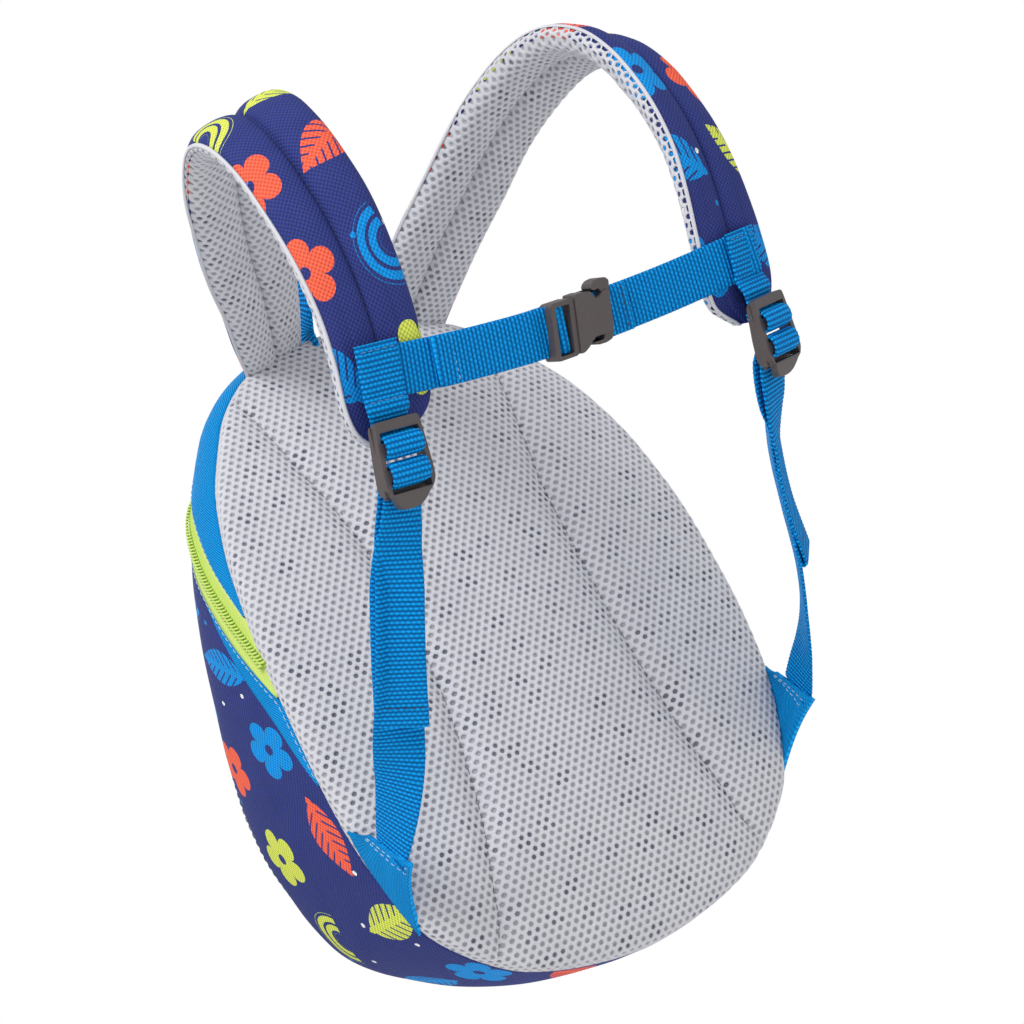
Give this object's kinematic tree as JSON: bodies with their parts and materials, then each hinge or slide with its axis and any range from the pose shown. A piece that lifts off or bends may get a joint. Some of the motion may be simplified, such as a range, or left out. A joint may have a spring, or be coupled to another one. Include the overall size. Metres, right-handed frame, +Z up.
{
  "type": "toddler harness backpack",
  "caption": "Small egg-shaped backpack with a mesh back panel, zip, padded shoulder straps and a buckled chest strap.",
  "frame": {"origin": "crest of the padded back panel at its middle, where the bag sits on the wearer's back", "axes": "+Z up as worn, -Y towards the wearer, +Y out through the printed front, +X to the right as seen from the wearer's side"},
  "size_m": [0.214, 0.2812, 0.3447],
  "materials": {
    "spacer_mesh": "light grey knitted spacer mesh with round holes",
    "blue_polyester": "sky blue woven polyester",
    "printed_polyester": null,
    "zip_tape": "lime woven zip tape",
    "zip_coil": "lime nylon coil",
    "webbing": "blue ribbed polyester webbing",
    "acetal": "dark brown-grey moulded acetal, satin"
  },
  "bodies": {
    "root": {"back_panel": "spacer_mesh", "upper_gusset": "blue_polyester", "zip_tape": "zip_tape", "zip_coil": "zip_coil", "lower_zip_band": "blue_polyester", "body_shell": "printed_polyester", "zip_slider": "acetal", "strap_cover_left": "printed_polyester", "strap_cover_right": "printed_polyester", "strap_lining_left": "spacer_mesh", "strap_lining_right": "spacer_mesh", "grab_handle": "webbing", "anchor_webbing_left": "webbing", "anchor_webbing_right": "webbing", "ladder_lock_left": "acetal", "ladder_lock_right": "acetal", "lower_webbing_left": "webbing", "lower_webbing_right": "webbing", "side_tab_left": "blue_polyester", "side_tab_right": "blue_polyester", "chest_webbing_left": "webbing", "chest_webbing_right": "webbing", "buckle_socket": "acetal", "buckle_plug": "acetal"}
  },
  "joints": []
}
